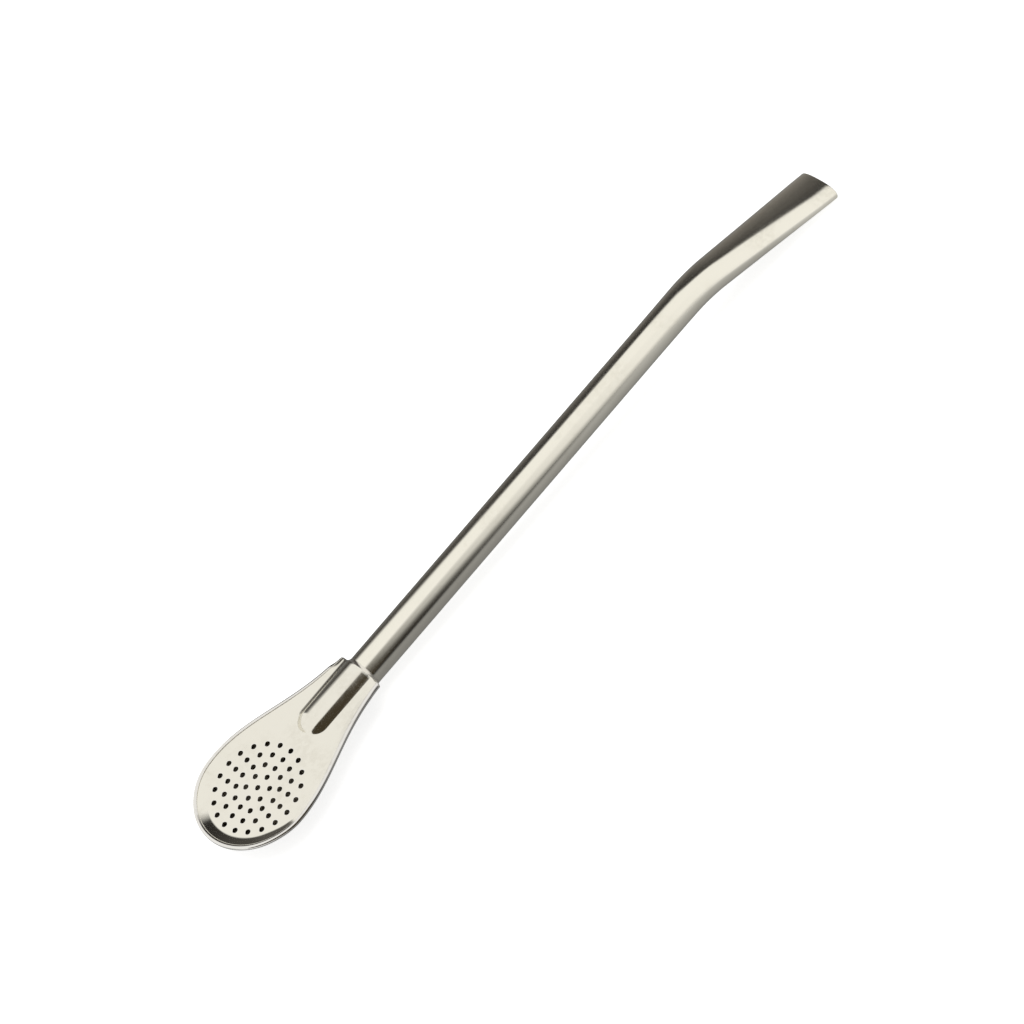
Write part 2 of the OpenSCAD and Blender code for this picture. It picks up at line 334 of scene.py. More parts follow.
@dataclass(frozen=True)
class SpoonOutline:
    """The strainer's outline and the height of its seam, which both stampings share."""

    bowl_radius: float = 15.3 * MM
    neck_half_width: float = 6.65 * MM
    neck_end: float = 33.7 * MM
    flare_run: float = 48.0 * MM
    flare_power: float = 2.1
    seam_neck: float = 0.95 * MM
    seam_side: float = 2.0 * MM
    seam_tip: float = 2.35 * MM
    tip_share: float = 0.5
    corner_radius: float = 1.2 * MM
    corner_run: float = 3.6 * MM
    bend_drop: float = 0.8 * MM
    bend_width: float = 1.65 * MM
    bend_power: float = 1.5
    sheet: float = 0.4 * MM
    gap: float = 0.05 * MM
    neck_stations: int = 76
    bowl_stations: int = 128

    def half_width(self, x: Array) -> Array:
        """Half the outline's width: the bowl's radius, drawn in by a power of a raised cosine."""
        swing = (1.0 + np.cos(np.pi * np.maximum(x, 0.0) / self.flare_run)) / 2.0
        return self.neck_half_width + (self.bowl_radius - self.neck_half_width) * swing**self.flare_power

    def slant(self, x: Array) -> Array:
        """How far across a unit of inset goes on the neck: the root of one plus the slope squared."""
        step = 0.01 * MM
        slope = (self.half_width(x + step) - self.half_width(x - step)) / (2.0 * step)
        return np.sqrt(1.0 + slope**2)

    def seam(self, x: Array) -> Array:
        """Height of the seam over the tube's axis: smooth steps from the neck up to the bowl and the tip."""
        side = (self.seam_side - self.seam_neck) * smooth_step(1.0 - x / self.flare_run)
        return self.seam_neck + side + (self.seam_tip - self.seam_side) * self.tipwards(x)

    def tipwards(self, x: Array) -> Array:
        """Rises from 0 at the bowl's middle to 1 near its tip, by a smooth step."""
        return smooth_step(-x / (self.tip_share * self.bowl_radius))

    def round_corners(self, points: Array) -> Array:
        """Draws the neck's two end corners back to quarter circles, and bends the one at +Y down.

        Args:
            points: Points of either stamping.

        Returns:
            The points, moved back along X by a quarter circle's fall towards the outline, times a smooth
            step over the end of the neck. The bent corner falls by a power of the share past its bend, times
            the same step.
        """
        x, y, z = np.moveaxis(points, -1, 0)
        r = self.corner_radius
        edge = float(self.half_width(np.array(self.neck_end)))
        by_end = rise(x, (self.neck_end - self.corner_run, self.neck_end))
        over = np.clip(np.abs(y) - edge + r, 0.0, r)
        bend = np.clip((y - edge) / self.bend_width + 1.0, 0.0, 1.0) ** self.bend_power
        return stack(x - (r - np.sqrt(r * r - over * over)) * by_end, y, z - self.bend_drop * bend * by_end)

    def path(self) -> tuple[Array, Array]:
        """Walks the rim from the neck's +Y corner round the tip to its -Y corner.

        Returns:
            The rim's points in X and Y, and the way inwards at each: straight across on the neck, where a
            unit of inset is stretched by the slant, and towards the middle round the bowl.
        """
        x = self.neck_end * np.linspace(1.0, 0.0, self.neck_stations, endpoint=False)
        side = np.stack([x, self.half_width(x)], axis=-1)
        across = np.stack([np.zeros_like(x), -self.slant(x)], axis=-1)
        angle = np.linspace(0.5 * np.pi, 1.5 * np.pi, self.bowl_stations + 1)
        round_bowl = np.stack([np.cos(angle), np.sin(angle)], axis=-1)
        flip = np.array([1.0, -1.0])
        rim = np.concatenate([side, self.bowl_radius * round_bowl, side[::-1] * flip])
        inwards = np.concatenate([across, -round_bowl, across[::-1] * flip])
        return rim, inwards

    def inwards(self) -> Array:
        """Returns the way inwards at each point of the rim as a level unit direction."""
        way = unit(self.path()[1])
        return np.concatenate([way, np.zeros((len(way), 1))], axis=1)


class Wiring:
    """Adds nodes to one shader tree and links them."""

    def __init__(self, tree: bpy.types.NodeTree) -> None:
        """Starts on an empty tree."""
        self.tree = tree
        tree.nodes.clear()

    def feed(self, socket: Socket, value: object) -> None:
        """Links an input to a value that is a socket, and sets it to any other value."""
        if isinstance(value, Socket):
            self.tree.links.new(value, socket)
        else:
            socket.default_value = value

    def node(self, kind: str, **settings: object) -> bpy.types.Node:
        """Adds a node.

        Args:
            kind: The node's type.
            settings: Values for its properties, or values or sockets for the inputs that have these names.

        Returns:
            The node.
        """
        made = self.tree.nodes.new(kind)
        for name, value in settings.items():
            socket = made.inputs.get(name.replace("_", " ").title())
            if socket is None:
                setattr(made, name, value)
            else:
                self.feed(socket, value)
        return made

    def attribute(self, name: str, output: str = "Fac") -> Socket:
        """Reads a value that the mesh's points carry and returns it."""
        return self.node("ShaderNodeAttribute", attribute_name=name).outputs[output]

    def math(self, operation: str, *values: float | Socket, clamp: bool = False) -> Socket:
        """Adds a Math node on numbers or sockets and returns its result."""
        made = self.node("ShaderNodeMath", operation=operation, use_clamp=clamp)
        for socket, value in zip(made.inputs, values):
            self.feed(socket, value)
        return made.outputs[0]

    def scaled(self, vector: Socket, factor: Socket) -> Socket:
        """Scales a vector by a number and returns it."""
        return self.node("ShaderNodeVectorMath", operation="SCALE", vector=vector, scale=factor).outputs[0]

    def mapped(self, vector: Socket, **change: Numbers) -> Socket:
        """Turns or scales a vector and returns it."""
        return self.node("ShaderNodeMapping", vector_type="POINT", vector=vector, **change).outputs[0]

    def noise(self, vector: Socket, scale: float, detail: float) -> Socket:
        """Adds a noise texture and returns its value."""
        return self.node("ShaderNodeTexNoise", scale=scale, detail=detail, vector=vector).outputs[0]

    def between(self, value: Socket, band: Numbers) -> Socket:
        """Maps a band of a value onto 0 to 1 by a smooth step and returns it."""
        kind = "ShaderNodeMapRange"
        low, high = band
        made = self.node(kind, interpolation_type="SMOOTHSTEP", value=value, from_min=low, from_max=high)
        return made.outputs[0]

    def blend(self, factor: Socket, low: Colour | Socket, high: Colour) -> Socket:
        """Mixes two colours by a factor, in the Mix node's colour sockets, and returns the result."""
        made = self.node("ShaderNodeMix", data_type="RGBA")
        start = low if isinstance(low, Socket) else (*low, 1.0)
        for socket, value in zip((0, 6, 7), (factor, start, (*high, 1.0)), strict=True):
            self.feed(made.inputs[socket], value)
        return made.outputs[2]

    def effect(self, group: bpy.types.NodeTree, vector: Socket, **value: float) -> bpy.types.NodeOutputs:
        """Places a shared effect with its own value and returns its outputs."""
        return self.node("ShaderNodeGroup", node_tree=group, vector=vector, **value).outputs


def start_material(name: str) -> tuple[bpy.types.Material, Wiring]:
    """Makes a material and returns it with the wiring of its empty tree."""
    material = bpy.data.materials.new(name)
    material.use_nodes = True
    return material, Wiring(material.node_tree)


class GroupKind(Enum):
    """The shared surface effects, each one shader node group."""

    DRAW_LINES = "draw_lines"
    HANDLING = "handling"
    HAIRLINES = "hairlines"


@dataclass(frozen=True)
class EffectGroups:
    """Builds the shared effects once. A scale is in waves to the metre, and a band is a stretch of noise."""

    fine_grain: Numbers = (60.0, 7000.0, 7000.0)
    broad_grain: Numbers = (22.0, 1400.0, 1400.0)
    broad_share: float = 0.8
    streak_band: Numbers = (0.35, 0.7)
    haze_scale: float = 110.0
    haze_band: Numbers = (0.45, 0.72)
    break_scale: float = 900.0
    break_band: Numbers = (0.3, 0.65)
    spot_scale: float = 420.0
    spot_band: Numbers = (0.7, 0.78)
    scratch_lean: Numbers = (0.3, 0.2)
    scratch_turns: Numbers = (0.5, -0.9)
    scratch_grain: Numbers = (130.0, 5200.0, 2600.0)
    scratch_band: Numbers = (0.64, 0.72)

    def start(
        self, kind: GroupKind, number: str, outputs: tuple[str, ...]
    ) -> tuple[Wiring, bpy.types.NodeOutputs, bpy.types.NodeInputs]:
        """Opens a group with a vector input, a number input that starts at 1, and number outputs.

        Args:
            kind: Which effect it is.
            number: Name of the number input.
            outputs: Names of the outputs.

        Returns:
            The group's wiring, what comes into the group and what goes out of it.
        """
        tree = bpy.data.node_groups.new(kind.value, "ShaderNodeTree")
        tree.interface.new_socket(name="Vector", in_out="INPUT", socket_type="NodeSocketVector")
        made = tree.interface.new_socket(name=number, in_out="INPUT", socket_type="NodeSocketFloat")
        made.default_value = 1.0
        for name in outputs:
            tree.interface.new_socket(name=name, in_out="OUTPUT", socket_type="NodeSocketFloat")
        w = Wiring(tree)
        return w, w.node("NodeGroupInput").outputs, w.node("NodeGroupOutput").inputs

    def draw_lines(self) -> bpy.types.NodeTree:
        """Fine lines along X: noise that is stretched along X, at two finenesses."""
        w, source, result = self.start(GroupKind.DRAW_LINES, "Fineness", ("Height", "Streak"))
        scaled = w.scaled(source["Vector"], source["Fineness"])
        fine = w.noise(w.mapped(scaled, scale=self.fine_grain), 1.0, detail=3.0)
        broad = w.noise(w.mapped(scaled, scale=self.broad_grain), 1.0, detail=2.0)
        w.feed(result["Height"], w.math("ADD", fine, w.math("MULTIPLY", broad, self.broad_share)))
        w.feed(result["Streak"], w.between(broad, self.streak_band))
        return w.tree

    def handling(self) -> bpy.types.NodeTree:
        """Haze left by hands and drying: broad noise broken up by finer noise, and small dull spots."""
        w, source, result = self.start(GroupKind.HANDLING, "Amount", ("Haze", "Spots"))
        vector, amount = source["Vector"], source["Amount"]
        broad = w.between(w.noise(vector, self.haze_scale, detail=3.0), self.haze_band)
        broken = w.between(w.noise(vector, self.break_scale, detail=4.0), self.break_band)
        spots = w.between(w.noise(vector, self.spot_scale, detail=1.0), self.spot_band)
        w.feed(result["Haze"], w.math("MULTIPLY", w.math("MULTIPLY", broad, broken), amount))
        w.feed(result["Spots"], w.math("MULTIPLY", spots, amount))
        return w.tree

    def hairlines(self) -> bpy.types.NodeTree:
        """Sparse polishing scratches two ways: the crests of stretched noise."""
        w, source, result = self.start(GroupKind.HAIRLINES, "Fineness", ("Mask",))
        masks = []
        for angle in self.scratch_turns:
            turned = w.mapped(source["Vector"], rotation=(*self.scratch_lean, angle))
            scaled = w.scaled(turned, source["Fineness"])
            line = w.noise(w.mapped(scaled, scale=self.scratch_grain), 1.0, detail=2.0)
            masks.append(w.between(line, self.scratch_band))
        w.feed(result["Mask"], w.math("MAXIMUM", *masks))
        return w.tree

    def build(self) -> dict[GroupKind, bpy.types.NodeTree]:
        """Makes every group and returns them by kind."""
        return {
            GroupKind.DRAW_LINES: self.draw_lines(),
            GroupKind.HANDLING: self.handling(),
            GroupKind.HAIRLINES: self.hairlines(),
        }


@dataclass(frozen=True)
class MetalFinish:
    """One finish of metal: its colours, its gloss and how strongly each shared effect shows."""

    name: str
    colour: Colour
    haze_colour: Colour
    roughness: float
    haze_roughness: float
    line_fineness: float
    line_height: float
    streak_roughness: float
    hairline_height: float = 0.6e-6
    handling: float = 0.8
    spot_share: float = 0.5
    edge_colour: Colour = (0.88, 0.87, 0.84)
    edge_share: float = 0.5

    def build(self, groups: dict[GroupKind, bpy.types.NodeTree]) -> bpy.types.Material:
        """Wires the finish: haze, streaks and worn edges in colour and gloss, lines and scratches in bump.

        Args:
            groups: The shared effects.

        Returns:
            The material.
        """
        material, w = start_material(self.name)
        flow = w.attribute(FLOW, "Vector")
        lines = w.effect(groups[GroupKind.DRAW_LINES], flow, fineness=self.line_fineness)
        marks = w.effect(groups[GroupKind.HANDLING], flow, amount=self.handling)
        scratches = w.effect(groups[GroupKind.HAIRLINES], flow, fineness=self.line_fineness)
        dull = w.math("ADD", marks["Haze"], w.math("MULTIPLY", marks["Spots"], self.spot_share), clamp=True)
        tint = w.blend(dull, self.colour, self.haze_colour)
        worn = w.math("MULTIPLY", w.attribute(EDGE), self.edge_share)
        colour = w.blend(worn, tint, self.edge_colour)
        rough = w.math("MULTIPLY_ADD", dull, self.haze_roughness, self.roughness)
        rough = w.math("MULTIPLY_ADD", lines["Streak"], self.streak_roughness, rough)
        grooves = w.math("MULTIPLY", lines["Height"], self.line_height)
        height = w.math("MULTIPLY_ADD", scratches["Mask"], -self.hairline_height, grooves)
        bump = w.node("ShaderNodeBump", strength=1.0, distance=1.0, height=height).outputs[0]
        metal = w.node("ShaderNodeBsdfPrincipled", metallic=1.0, base_color=colour, roughness=rough)
        w.feed(metal.inputs["Normal"], bump)
        w.node("ShaderNodeOutputMaterial", surface=metal.outputs[0])
        return material


TUBE_FINISH = MetalFinish(
    name="drawn_polished_steel",
    colour=(0.87, 0.838, 0.735),
    haze_colour=(0.80, 0.765, 0.66),
    roughness=0.15,
    haze_roughness=0.06,
    line_fineness=1.0,
    line_height=1.2e-6,
    streak_roughness=0.05,
)
FRONT_FINISH = MetalFinish(
    name="stamped_polished_steel",
    colour=(0.815, 0.788, 0.70),
    haze_colour=(0.76, 0.73, 0.64),
    roughness=0.09,
    haze_roughness=0.07,
    line_fineness=0.7,
    line_height=0.5e-6,
    streak_roughness=0.03,
)
BACK_FINISH = MetalFinish(
    name="pressed_polished_steel",
    colour=(0.78, 0.76, 0.72),
    haze_colour=(0.70, 0.67, 0.61),
    roughness=0.1,
    haze_roughness=0.1,
    line_fineness=0.7,
    line_height=0.6e-6,
    streak_roughness=0.04,
    hairline_height=1.0e-6,
    handling=1.0,
    edge_colour=(0.86, 0.85, 0.82),
)
# Every inside face, in the bore and in the hollow between the stampings, takes this colour, far darker and
# duller than the outside's.
INSIDE_FINISH = MetalFinish(
    name="dark_inside_steel",
    colour=(0.30, 0.27, 0.21),
    haze_colour=(0.14, 0.11, 0.065),
    roughness=0.42,
    haze_roughness=0.2,
    line_fineness=0.5,
    line_height=2.0e-6,
    streak_roughness=0.08,
    hairline_height=0.0,
    handling=1.4,
    edge_colour=(0.5, 0.47, 0.41),
)
BRAZE_FINISH = MetalFinish(
    name="silver_braze",
    colour=(0.79, 0.755, 0.68),
    haze_colour=(0.62, 0.56, 0.44),
    roughness=0.2,
    haze_roughness=0.12,
    line_fineness=0.5,
    line_height=2.5e-6,
    streak_roughness=0.06,
    edge_colour=(0.8, 0.78, 0.72),
)
FINISHES = (TUBE_FINISH, FRONT_FINISH, BACK_FINISH, INSIDE_FINISH, BRAZE_FINISH)


@dataclass(frozen=True)
class Dressing:
    """A piece's name, the node that it stands for, the record's material slot, and its finishes."""

    name: str
    node: str
    slot: str
    finishes: tuple[MetalFinish, ...]


@dataclass(kw_only=True)
class Piece:
    """One piece of the straw, which is built from its skin and dressed."""

    line: TubeLine
    rest: RestPose
    dressing: Dressing

    def skin(self) -> Skin:
        """Gathers the piece's faces. Each kind of piece has its own."""
        raise NotImplementedError

    def build(self) -> bpy.types.Object:
        """Welds the piece's faces and returns its object."""
        return self.skin().build(self.dressing.name, self.rest)

    def dress(self, made: dict[str, bpy.types.Material]) -> None:
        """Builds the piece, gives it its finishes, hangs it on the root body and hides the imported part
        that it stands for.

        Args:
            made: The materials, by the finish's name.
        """
        piece = self.build()
        for finish in self.dressing.finishes:
            piece.data.materials.append(made[finish.name])
        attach(piece, ROOT_BODY)
        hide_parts(self.dressing.node)
        log.info("%s rides on %s and stands for %s", piece.name, ROOT_BODY, self.dressing.node)


@dataclass(kw_only=True)
class StemTube(Piece):
    """The drawn tube, bent near its end and pressed flat at the mouth."""

    dressing: Dressing = Dressing("stem", "stem_tube", "tube_steel", (TUBE_FINISH, INSIDE_FINISH))
    wall: float = 0.5 * MM
    mouth_half_width: float = 5.75 * MM
    mouth_power: float = 2.5
    flatten_lead: float = 13.0 * MM
    flatten_ease_in: float = 0.4
    flatten_ease_out: float = 0.1
    around: int = 176
    straight_rings: int = 56
    bent_rings: int = 120
    edge_rings: int = 10

    def rings(self, s: Array, inset: Array) -> tuple[Array, Array]:
        """Sections of the tube: a circle that becomes a wide, flat superellipse by the mouth.

        Args:
            s: Distance of each ring past the start of the bend.
            inset: Depth of each ring under the tube's outside.

        Returns:
            The rings' points, and the points that they would have on a straight tube. A point is half the
            width times the cosine of its turn and half the height times the sine, each raised to the
            section's power.
        """
        s, inset, radius = s[:, None], inset[:, None], self.line.radius
        place = (s + self.flatten_lead) / (self.line.end + self.flatten_lead)
        share = rounded_ramp(place, self.flatten_ease_in, self.flatten_ease_out)
        half_width = radius + (self.mouth_half_width - radius) * share - inset
        half_height = radius + (self.rest.mouth_half_height - radius) * share - inset
        power = 2.0 / (2.0 + (self.mouth_power - 2.0) * share)
        turn = np.linspace(0.0, 2.0 * np.pi, self.around, endpoint=False)
        y = half_width * signed_power(np.cos(turn), power)
        n = half_height * signed_power(np.sin(turn), power)
        x, z, bend = self.line.at(s)
        points = stack(x + n * np.sin(bend), y, z + n * np.cos(bend))
        return points, stack(self.line.bend_start + s, y, n)

    def skin(self) -> Skin:
        """Carries the rings along the outside, round the mouth, back along the bore and round the start."""
        first, last, half = self.line.start - self.line.bend_start, self.line.end, self.wall / 2.0
        straight = np.linspace(first + half, -self.flatten_lead, self.straight_rings, endpoint=False)
        outside = np.concatenate([straight, np.linspace(-self.flatten_lead, last - half, self.bent_rings)])
        turn = np.linspace(0.0, np.pi, self.edge_rings + 1)[1:-1]
        bulge, depth = half * np.sin(turn), half * (1.0 - np.cos(turn))
        s = np.concatenate([outside, last - half + bulge, outside[::-1], first + half - bulge])
        plain, worn = np.zeros_like(outside), np.ones_like(bulge)
        inset = np.concatenate([plain, depth, plain + self.wall, depth[::-1]])
        edge = np.concatenate([plain, worn, plain, worn])
        skin = Skin()
        grid = closed(skin.place(*self.rings(s, inset), edge[:, None]), 1)
        bore_from = len(outside) + len(bulge)
        bore_to = bore_from + len(outside)
        skin.weave(grid[: bore_from + 1])
        skin.weave(grid[bore_from:bore_to], Side.INSIDE)
        skin.weave(np.concatenate([grid[bore_to - 1 :], grid[:1]]))
        return skin


@dataclass(kw_only=True)
class FrontStrainer(Piece):
    """The perforated front stamping: a flat floor inside a lip, and a ball-ended socket over the tube."""

    outline: SpoonOutline
    dressing: Dressing = Dressing(
        "strainer_front", "front_strainer", "front_steel", (FRONT_FINISH, INSIDE_FINISH)
    )
    floor: float = 1.57 * MM
    fold_width: float = 0.95 * MM
    fold_clear: float = 0.03 * MM
    fold_step: float = 0.08 * MM
    lip_start: float = 0.3 * MM
    lip_run_tip: float = 3.4 * MM
    lip_run_side: float = 2.4 * MM
    lip_round_rim: float = 0.05
    lip_round_floor: float = 0.3
    foot_fillet: float = 2.2 * MM
    flat_margin: float = 0.05 * MM
    hole_radius: float = 0.6 * MM
    hole_counts: tuple[int, ...] = (1, 6, 12, 16, 20)
    ring_radius: float = 3.03 * MM
    ring_step: float = 2.54 * MM
    hole_turn: float = math.radians(1.8)
    hole_sides: int = 28
    roll_over: float = 0.12 * MM
    roll_ring: float = 0.24 * MM
    roll_points: int = 5
    burr_round: float = 0.05 * MM
    burr_ring: float = 0.15 * MM
    burr_points: int = 4
    tuck_columns: int = 4
    lip_columns: int = 32
    ball_stations: int = 64
    fillet_columns: int = 16
    crown_columns: int = 26

    @property
    def tuck(self) -> float:
        """How far the sheet's edge is tucked under the fold: a sheet and a gap, less the fold's low step."""
        return self.outline.sheet + self.outline.gap - self.fold_step

    @property
    def socket_radius(self) -> float:
        """Radius of the socket's sheet at mid-thickness, and of the back shell's channel."""
        return self.line.radius + self.outline.gap + self.outline.sheet / 2.0

    @property
    def fillet_reach(self) -> float:
        """Distance from the tube's axis to the centre of the fillet at the socket's foot, across."""
        return math.sqrt((self.socket_radius + self.foot_fillet) ** 2 - (self.floor + self.foot_fillet) ** 2)

    @property
    def foot_reach(self) -> float:
        """Half-width of the socket's foot, with its flat margin."""
        return self.fillet_reach + self.flat_margin

    def lip_end(self, x: Array) -> Array:
        """Inset at which the lip reaches the floor: its full run, or as far as the socket's foot."""
        room = (self.outline.half_width(x) - self.foot_reach) / self.outline.slant(x)
        wider = (self.lip_run_tip - self.lip_run_side) * self.outline.tipwards(x)
        full = self.lip_start + self.lip_run_side + wider
        return np.where(x > self.line.start, np.minimum(full, room), full)

    def lip_height(self, x: Array, inset: Array) -> Array:
        """Middle of the lip's sheet: a low step at the rim, then a rounded ramp down to the floor."""
        share = (inset - self.lip_start) / (self.lip_end(x) - self.lip_start)
        drop = rounded_ramp(share, self.lip_round_rim, self.lip_round_floor)
        ridge = self.outline.seam(x) + self.tuck
        return ridge + (self.floor - ridge) * drop

    def lip_skin(self, joggle: float, face: float) -> Array:
        """One skin of the lip as a grid, rim station by inset, with its edge tucked under the fold.

        Args:
            joggle: Inset of the step up from the tucked edge, which brings the lip level with the fold.
            face: 1 for the upper skin and -1 for the lower one.

        Returns:
            The ramp's middle, tucked down as far as the step, plus half a sheet along its normal.
        """
        rim, inwards = self.outline.path()
        sheet = self.outline.sheet
        tucked = np.linspace(1.5 * sheet + self.outline.gap, joggle, self.tuck_columns)
        ends = self.lip_end(rim[:, 0])[:, None]
        slope = joggle + (ends - joggle) * np.linspace(0.0, 1.0, self.lip_columns)
        insets = np.concatenate([np.broadcast_to(tucked, (len(rim), len(tucked))), slope], axis=1)
        sunk = np.repeat([self.tuck, 0.0], [self.tuck_columns, self.lip_columns])
        xy = rim[:, None] + inwards[:, None] * insets[..., None]
        x, y = xy[..., 0], xy[..., 1]
        step = 0.004 * MM
        across = self.lip_height(x, insets + step) - self.lip_height(x, insets - step)
        steep = np.where(insets > ends - step, 0.0, across / (2.0 * step))
        way = unit(inwards)[:, None]
        normal = unit(np.concatenate([-steep[..., None] * way, np.ones_like(steep)[..., None]], axis=-1))
        middle = stack(x, y, self.lip_height(x, insets) - sunk)
        return self.outline.round_corners(middle + normal * face * sheet / 2.0)

    def lip_skins(self) -> tuple[Array, Array]:
        """Returns the upper and the lower skin of the lip, whose steps are a sheet apart."""
        step = self.fold_width + self.fold_clear
        return self.lip_skin(step, 1.0), self.lip_skin(step + self.outline.sheet, -1.0)

    def socket_skins(self) -> tuple[Array, Array]:
        """The socket as two grids: its section carried up one side, round the ball end and down the other.

        Returns:
            The upper and the lower skin's points. A section runs in along the flat margin, up a fillet that
            is hollow on top, and over an arc about the tube's axis to the crown.
        """
        x = self.outline.path()[0][: self.outline.neck_stations, 0]
        x = x[x > self.line.start]
        angle = np.linspace(0.5 * np.pi, 1.5 * np.pi, self.ball_stations + 1)
        origin = np.concatenate([x, np.full_like(angle, self.line.start), x[::-1]])[:, None]
        level, across = np.zeros_like(x), np.ones_like(x)
        way_x = np.concatenate([level, np.cos(angle), level])[:, None]
        way_y = np.concatenate([across, np.sin(angle), -across])[:, None]
        contact = math.asin((self.floor + self.foot_fillet) / (self.socket_radius + self.foot_fillet))
        fillet = np.linspace(-0.5 * np.pi, contact - np.pi, self.fillet_columns + 1)
        crown = np.linspace(contact, 0.5 * np.pi, self.crown_columns + 1)[1:]
        fillet_out = self.fillet_reach + self.foot_fillet * np.cos(fillet)
        fillet_up = self.floor + self.foot_fillet * (1.0 + np.sin(fillet))
        out = np.concatenate([[self.foot_reach], fillet_out, self.socket_radius * np.cos(crown)])
        up = np.concatenate([[self.floor], fillet_up, self.socket_radius * np.sin(crown)])
        normal_out = np.concatenate([[0.0], -np.cos(fillet), np.cos(crown)])
        normal_up = np.concatenate([[1.0], -np.sin(fillet), np.sin(crown)])

        def carry(lift: float) -> Array:
            """Sets the section, lifted along its normal, down at every station."""
            reach = out + lift * normal_out
            return stack(origin + way_x * reach, way_y * reach, up + lift * normal_up)

        half = self.outline.sheet / 2.0
        return carry(half), carry(-half)

    def hole_places(self) -> Array:
        """Middles of the holes: rings about the pattern's middle, each with its first hole by the neck."""
        counts = np.array(self.hole_counts)
        ring = np.repeat(np.arange(len(counts)), counts)
        place = np.arange(counts.sum()) - np.repeat(np.cumsum(counts) - counts, counts)
        radius = np.where(ring == 0, 0.0, self.ring_radius + (ring - 1) * self.ring_step)
        angle = 2.0 * np.pi * place / counts[ring] - self.hole_turn
        return np.stack([radius * np.cos(angle), radius * np.sin(angle)], axis=-1)

    def hole_walls(self) -> Array:
        """All the punched holes as one grid, hole by section by turn.

        Returns:
            The points. A section goes in over the rolled edge of the upper face, a quarter circle, then down
            the wall and out over the smaller round of the lower face, with a flat ring at each end.
        """
        half = self.outline.sheet / 2.0
        roll = np.linspace(0.0, 0.5 * np.pi, self.roll_points)
        burr = np.linspace(0.5 * np.pi, 0.0, self.burr_points)
        roll_in, burr_out = self.roll_over * (1.0 - np.sin(roll)), self.burr_round * (1.0 - np.sin(burr))
        roll_down = half - self.roll_over * (1.0 - np.cos(roll))
        burr_up = self.burr_round * (1.0 - np.cos(burr)) - half
        reach = np.concatenate([[self.roll_ring], roll_in, burr_out, [self.burr_ring]])
        height = np.concatenate([[half], roll_down, burr_up, [-half]])
        turn = np.linspace(0.0, 2.0 * np.pi, self.hole_sides, endpoint=False)
        radius = (self.hole_radius + reach)[:, None]
        places = self.hole_places()[:, None, None]
        x = places[..., 0] + radius * np.cos(turn)
        y = places[..., 1] + radius * np.sin(turn)
        return stack(x, y, self.floor + height[:, None])

    def floor_triangles(self, outer: Array, rings: Array, reach: float) -> tuple[Array, Index]:
        """Fills the flat floor between its outer boundary and the rings round the holes.

        Args:
            outer: Boundary points in X and Y, in order.
            rings: The rings' points in X and Y, hole by turn.
            reach: Radius of the rings.

        Returns:
            The points in X and Y, and the triangles that lie in the boundary and in none of the rings.
        """
        loops = [outer, *rings]
        points = np.concatenate(loops)
        starts = np.cumsum([0] + [len(loop) for loop in loops])
        polygons = [list(range(a, b)) for a, b in zip(starts[:-1], starts[1:], strict=True)]
        scaled = [Vector(p) for p in (points / MM).tolist()]
        inside_only, merge_distance = 1, 1e-7
        found = delaunay_2d_cdt(scaled, [], polygons, inside_only, merge_distance)
        xy = np.array([tuple(p) for p in found[0]]) * MM
        triangles = np.array(found[2], dtype=np.int64)
        middles = xy[triangles].mean(axis=1)
        apart = np.linalg.norm(middles[:, None] - self.hole_places()[None], axis=-1)
        return xy, triangles[(apart > reach * math.cos(np.pi / self.hole_sides)).all(axis=1)]

    def skin(self) -> Skin:
        """Joins the lip, the socket, the holes and the flat floor, each with two skins."""
        skin = Skin()
        half = self.outline.sheet / 2.0
        lips = [skin.place(points) for points in self.lip_skins()]
        sockets = [skin.place(points) for points in self.socket_skins()]
        walls = self.hole_walls()
        worn = np.zeros((walls.shape[1], 1))
        # The rolled edge and the wall under it are bright, and the flat rings and the burr aren't.
        worn[1 : self.roll_points + 2] = 1.0
        skin.weave(closed(skin.place(walls, edge=worn), 2))
        for side, lip, socket in zip(Side, lips, sockets, strict=True):
            skin.weave(lip, side)
            skin.weave(socket, side)
        held = np.concatenate(skin.points)
        lip_inner, foot = held[lips[0][:, -1]][:, :2], held[sockets[0][:, 0]][:, :2]
        half_way = len(foot) // 2
        joint = int((np.abs(lip_inner[:half_way] - foot[:half_way]).max(axis=1) < skin.weld).sum())
        round_lip = lip_inner[joint - 1 : len(lip_inner) - joint + 1]
        outer = np.concatenate([round_lip, foot[joint : len(foot) - joint][::-1]])
        for side, ring, level in ((Side.OUTSIDE, 0, half), (Side.INSIDE, -1, -half)):
            loop = walls[:, ring, :, :2]
            reach = float(np.linalg.norm(loop[0, 0] - self.hole_places()[0]))
            xy, triangles = self.floor_triangles(outer, loop, reach)
            numbers = skin.place(stack(xy[:, 0], xy[:, 1], np.full(len(xy), self.floor + level)))
            skin.patch(numbers[triangles], side)
        edge = skin.close_edge(lips[0][:, 0], lips[1][:, 0], -self.outline.inwards())
        for row in (0, -1):
            pairs = zip(lips, sockets, strict=True)
            upper, lower = (np.concatenate([lip[row], socket[row, 1:]]) for lip, socket in pairs)
            end = skin.close_edge(upper, lower, np.broadcast_to([1.0, 0.0, 0.0], (len(upper), 3)))
            skin.close_corner(edge[row], end[0])
        return skin


